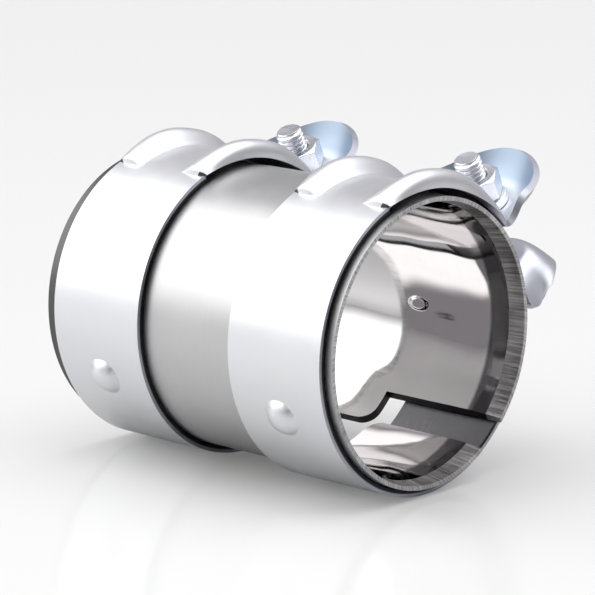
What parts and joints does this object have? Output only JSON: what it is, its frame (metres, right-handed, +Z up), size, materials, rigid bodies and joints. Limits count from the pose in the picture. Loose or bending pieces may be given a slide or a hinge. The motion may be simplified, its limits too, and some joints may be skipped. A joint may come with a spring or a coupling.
{
  "type": "exhaust sleeve clamp",
  "caption": "Slit metal sleeve with bolted band clamps whose scoop-shaped ears draw it tight over two butted pipe ends.",
  "frame": {"origin": "middle of the sleeve's bore, on its axis and halfway along it", "axes": "+Y along the bore from the front end to the rear end, +Z up as the part lies in the picture, +X to the right seen from the front"},
  "size_m": [0.0828, 0.0801, 0.0656],
  "materials": {
    "stainless": "rolled bright stainless steel",
    "zinc_band": "bright zinc plated sheet steel",
    "zinc_fastener": "bright zinc plated steel"
  },
  "bodies": {
    "root": {"sleeve": "stainless", "front_band": "zinc_band", "front_nut_washer": "zinc_fastener", "front_nut": "zinc_fastener", "rear_band": "zinc_band", "rear_nut_washer": "zinc_fastener", "rear_nut": "zinc_fastener"},
    "front_head_washer": {"front_head_washer": "zinc_fastener"},
    "front_bolt": {"front_bolt": "zinc_fastener"},
    "rear_head_washer": {"rear_head_washer": "zinc_fastener"},
    "rear_bolt": {"rear_bolt": "zinc_fastener"}
  },
  "joints": [
    {"name": "front_bolt_turn", "type": "hinge", "parent": "front_head_washer", "child": "front_bolt", "pos_m": [0.0339, -0.02595, 0.01581], "axis": [0.4226, 0, -0.9063], "range_deg": [0, 3241]},
    {"name": "front_bolt_travel", "type": "slide", "parent": "root", "child": "front_head_washer", "axis": [0.4226, 0, -0.9063], "range_m": [0, 0.009]},
    {"name": "rear_bolt_turn", "type": "hinge", "parent": "rear_head_washer", "child": "rear_bolt", "pos_m": [0.0339, 0.02405, 0.01581], "axis": [0.4226, 0, -0.9063], "range_deg": [0, 3241]},
    {"name": "rear_bolt_travel", "type": "slide", "parent": "root", "child": "rear_head_washer", "axis": [0.4226, 0, -0.9063], "range_m": [0, 0.009]}
  ],
  "couplings": [
    {"joint": "front_bolt_turn", "follows": "front_bolt_travel", "rad_per_m": 6283.2},
    {"joint": "rear_bolt_turn", "follows": "rear_bolt_travel", "rad_per_m": 6283.2}
  ]
}
